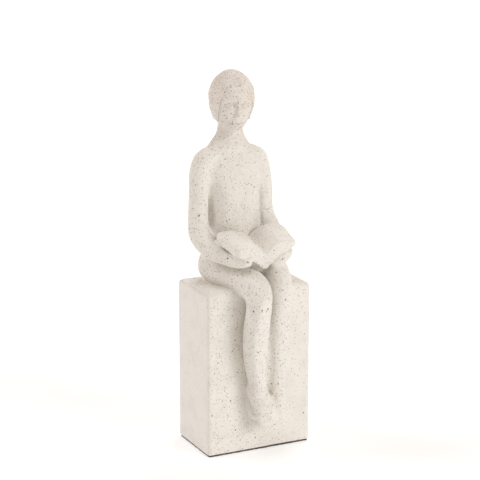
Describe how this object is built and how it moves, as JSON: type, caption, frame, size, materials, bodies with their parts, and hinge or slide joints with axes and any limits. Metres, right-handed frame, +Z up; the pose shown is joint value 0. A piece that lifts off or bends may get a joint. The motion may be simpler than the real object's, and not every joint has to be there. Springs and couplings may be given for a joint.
{
  "type": "seated reader statue",
  "caption": "Speckled off-white resin statue of a seated woman reading an open book in her lap, cast in one with the tall rectangular block she sits on, with a felt pad under its base.",
  "frame": {"origin": "centre of the felt pad's underside, which is where the statue stands", "axes": "+Z up; she faces -Y; +X is her left"},
  "size_m": [0.0888, 0.0853, 0.2981],
  "materials": {
    "speckled_resin": "matte, off-white with fine grey-brown specks and small pits",
    "felt": "dark brown felt"
  },
  "bodies": {
    "root": {"statue": "speckled_resin", "felt_pad": "felt"}
  },
  "joints": []
}
